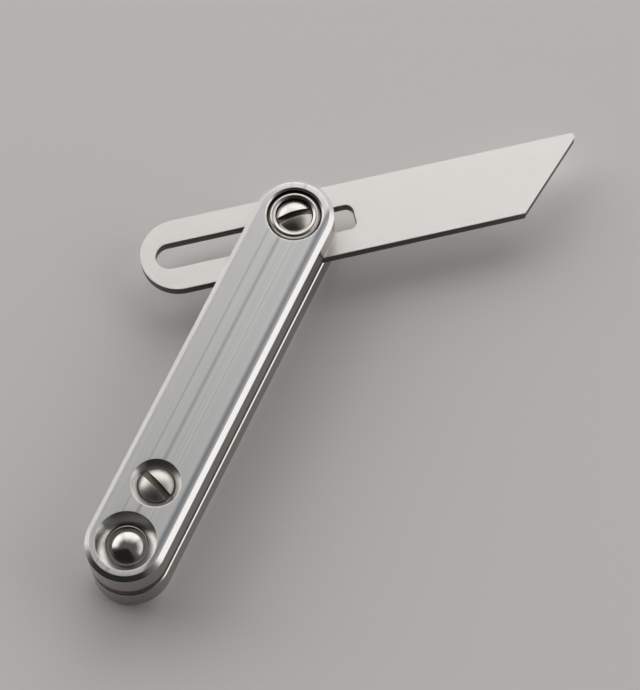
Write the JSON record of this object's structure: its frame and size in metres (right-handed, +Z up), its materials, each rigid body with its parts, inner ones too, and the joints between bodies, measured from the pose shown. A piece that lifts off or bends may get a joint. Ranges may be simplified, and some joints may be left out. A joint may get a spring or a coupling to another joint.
{
  "type": "sliding bevel",
  "caption": "Sliding bevel with a two-part round-ended metal stock, a slotted steel blade that swings and slides, and a push-button blade release at the butt.",
  "frame": {"origin": "middle of the stock's flat underside, halfway between the button's axis and the pivot's axis", "axes": "+X along the stock from the button towards the pivot, +Z up through the stock, square to the blade's plane"},
  "size_m": [0.1583, 0.088, 0.0202],
  "materials": {
    "brushed_aluminium": "brushed along its length, semi-polished sides",
    "satin_steel": "satin, ground along its length",
    "polished_steel": "polished",
    "turned_steel": "fine turned, bright",
    "ground_steel": "fine ground",
    "spring_steel": "dark tempered",
    "lever_steel": "milled",
    "bronze": "fine turned"
  },
  "bodies": {
    "stock": {"lower_body_half": "brushed_aluminium", "upper_body_half": "brushed_aluminium", "rear_screw": "turned_steel", "rear_spacer": "ground_steel", "dowel_pin": "ground_steel", "return_spring": "spring_steel", "fulcrum_pin": "ground_steel", "spring_retainer": "ground_steel", "blade_washer": "bronze", "disc_spring_1": "spring_steel", "disc_spring_2": "spring_steel", "disc_spring_3": "spring_steel", "disc_spring_4": "spring_steel"},
    "button": {"release_button": "polished_steel"},
    "lever": {"release_lever": "lever_steel"},
    "post": {"clamp_post": "ground_steel", "clamp_collar": "polished_steel"},
    "screw": {"tension_screw": "turned_steel"},
    "carriage": {"slide_bush": "bronze"},
    "blade": {"blade": "satin_steel"}
  },
  "joints": [
    {"name": "button_press", "type": "slide", "parent": "stock", "child": "button", "axis": [0, 0, -1], "range_m": [0, 0.0015], "stiffness_N_per_m": 900, "springref_m": -0.001},
    {"name": "lever_rock", "type": "hinge", "parent": "stock", "child": "lever", "pos_m": [0.02725, 0, 0.0047], "axis": [0, -1, 0], "range_deg": [0, 1.16], "deforming": ["return_spring"]},
    {"name": "post_lift", "type": "slide", "parent": "stock", "child": "post", "axis": [0, 0, 1], "range_m": [0, 0.00041], "deforming": ["disc_spring_1", "disc_spring_2", "disc_spring_3", "disc_spring_4"]},
    {"name": "tension_turn", "type": "hinge", "parent": "post", "child": "screw", "pos_m": [0.04725, 0, 0.018], "axis": [0, 0, 1], "range_deg": [-90, 90]},
    {"name": "blade_swing", "type": "hinge", "parent": "stock", "child": "carriage", "pos_m": [0.04725, 0, 0.0101], "axis": [0, 0, 1], "range_deg": [-117.5, 221.5]},
    {"name": "blade_slide", "type": "slide", "parent": "carriage", "child": "blade", "axis": [0.6157, -0.788, 0], "range_m": [-0.012, 0.0326]}
  ],
  "couplings": [
    {"joint": "lever_rock", "follows": "button_press", "rad_per_m": 13.423},
    {"joint": "post_lift", "follows": "button_press", "ratio": 0.26846}
  ]
}
